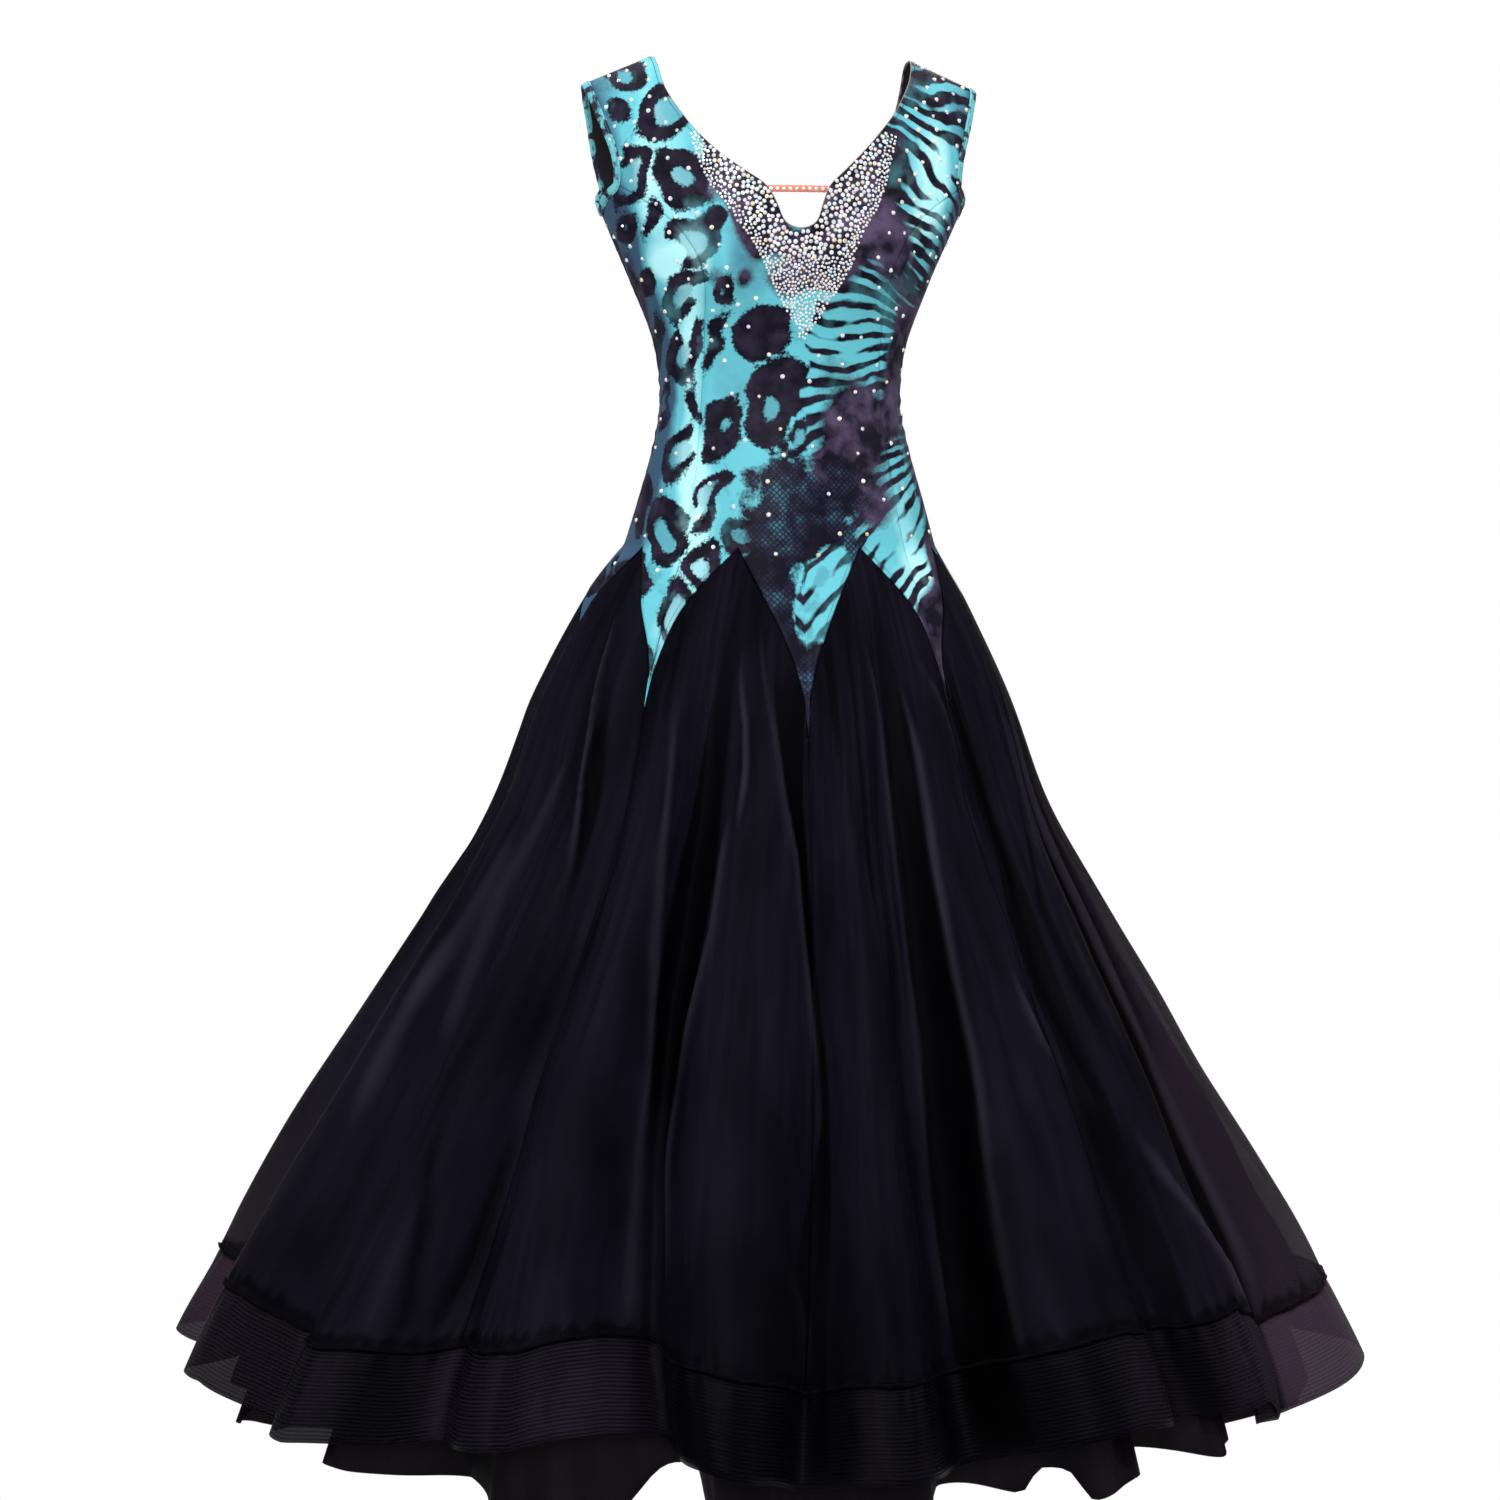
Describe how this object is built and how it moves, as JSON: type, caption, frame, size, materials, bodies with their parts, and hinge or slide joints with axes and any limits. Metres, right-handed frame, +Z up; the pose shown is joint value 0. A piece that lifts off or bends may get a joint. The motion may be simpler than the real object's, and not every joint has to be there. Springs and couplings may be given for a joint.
{
  "type": "ballroom dance dress",
  "caption": "Sleeveless ballroom dance dress: printed fitted bodice with a notched neckline, flared organza godet skirt with a stiff hem band, and a longer underskirt.",
  "frame": {"origin": "midway between the two shoulder straps, at the height where the wearer's shoulders carry them", "axes": "+Z up, the front faces -Y, and the wearer's left is +X"},
  "size_m": [1.1837, 0.9488, 1.3464],
  "materials": {
    "printed_stretch_cloth": "printed satin-faced stretch cloth, slightly glossy",
    "black_organza": "sheer organza with a faint purple-grey sheen",
    "black_horsehair_braid": "stiff sheer braid with fine ribs along it",
    "black_underskirt_cloth": "thin plain cloth, partly see-through",
    "nude_bar_cloth": "narrow stretch strip, matt"
  },
  "bodies": {
    "root": {"back_centre_panel_left": "printed_stretch_cloth", "back_centre_panel_right": "printed_stretch_cloth", "back_side_panel_left": "printed_stretch_cloth", "back_side_panel_right": "printed_stretch_cloth", "front_centre_panel": "printed_stretch_cloth", "front_side_panel_left": "printed_stretch_cloth", "front_side_panel_right": "printed_stretch_cloth", "godet_1": "black_organza", "godet_2": "black_organza", "godet_3": "black_organza", "godet_4": "black_organza", "godet_5": "black_organza", "godet_6": "black_organza", "godet_7": "black_organza", "godet_8": "black_organza", "hem_band": "black_horsehair_braid", "neck_bar": "nude_bar_cloth", "underskirt": "black_underskirt_cloth"}
  },
  "joints": []
}
